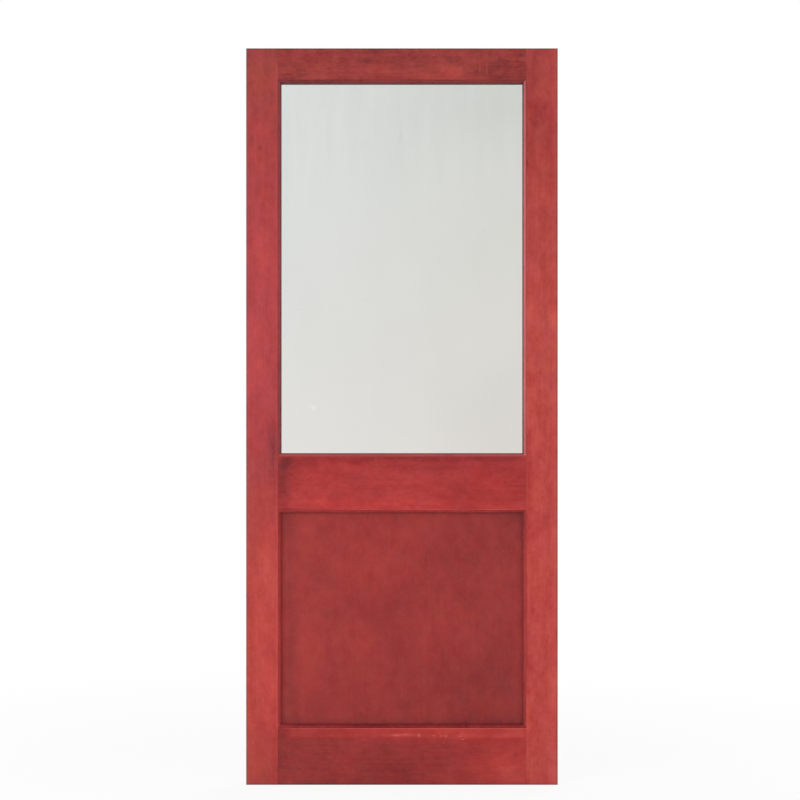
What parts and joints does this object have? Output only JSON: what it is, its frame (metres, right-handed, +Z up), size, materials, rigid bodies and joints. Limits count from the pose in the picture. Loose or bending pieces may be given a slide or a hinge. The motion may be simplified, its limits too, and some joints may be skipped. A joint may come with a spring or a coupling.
{
  "type": "half-glazed timber door leaf",
  "caption": "Stained timber door leaf with one tall glass pane over a flat lower panel, both framed by mitred ovolo mouldings on the front and back.",
  "frame": {"origin": "foot of the hinge edge's flat face, in the middle of the leaf's thickness", "axes": "+X across the leaf from the hinge edge to the lock edge, +Y from the front face to the back face, +Z up"},
  "size_m": [0.838, 0.044, 1.981],
  "materials": {
    "stained_timber": "satin",
    "panel_board": "satin",
    "moulding_timber": "satin",
    "pane_glass": "gloss",
    "seal_rubber": "matte"
  },
  "bodies": {
    "root": {"left_stile": "stained_timber", "right_stile": "stained_timber", "top_rail": "stained_timber", "lock_rail": "stained_timber", "bottom_rail": "stained_timber", "lower_panel": "panel_board", "glass_pane": "pane_glass", "setting_blocks": "seal_rubber", "front_glazing_seal": "seal_rubber", "back_glazing_seal": "seal_rubber", "front_glass_moulding_left": "moulding_timber", "front_glass_moulding_right": "moulding_timber", "front_glass_moulding_bottom": "moulding_timber", "front_glass_moulding_top": "moulding_timber", "front_panel_moulding_left": "moulding_timber", "front_panel_moulding_right": "moulding_timber", "front_panel_moulding_bottom": "moulding_timber", "front_panel_moulding_top": "moulding_timber", "back_glass_moulding_left": "moulding_timber", "back_glass_moulding_right": "moulding_timber", "back_glass_moulding_bottom": "moulding_timber", "back_glass_moulding_top": "moulding_timber", "back_panel_moulding_left": "moulding_timber", "back_panel_moulding_right": "moulding_timber", "back_panel_moulding_bottom": "moulding_timber", "back_panel_moulding_top": "moulding_timber"}
  },
  "joints": []
}
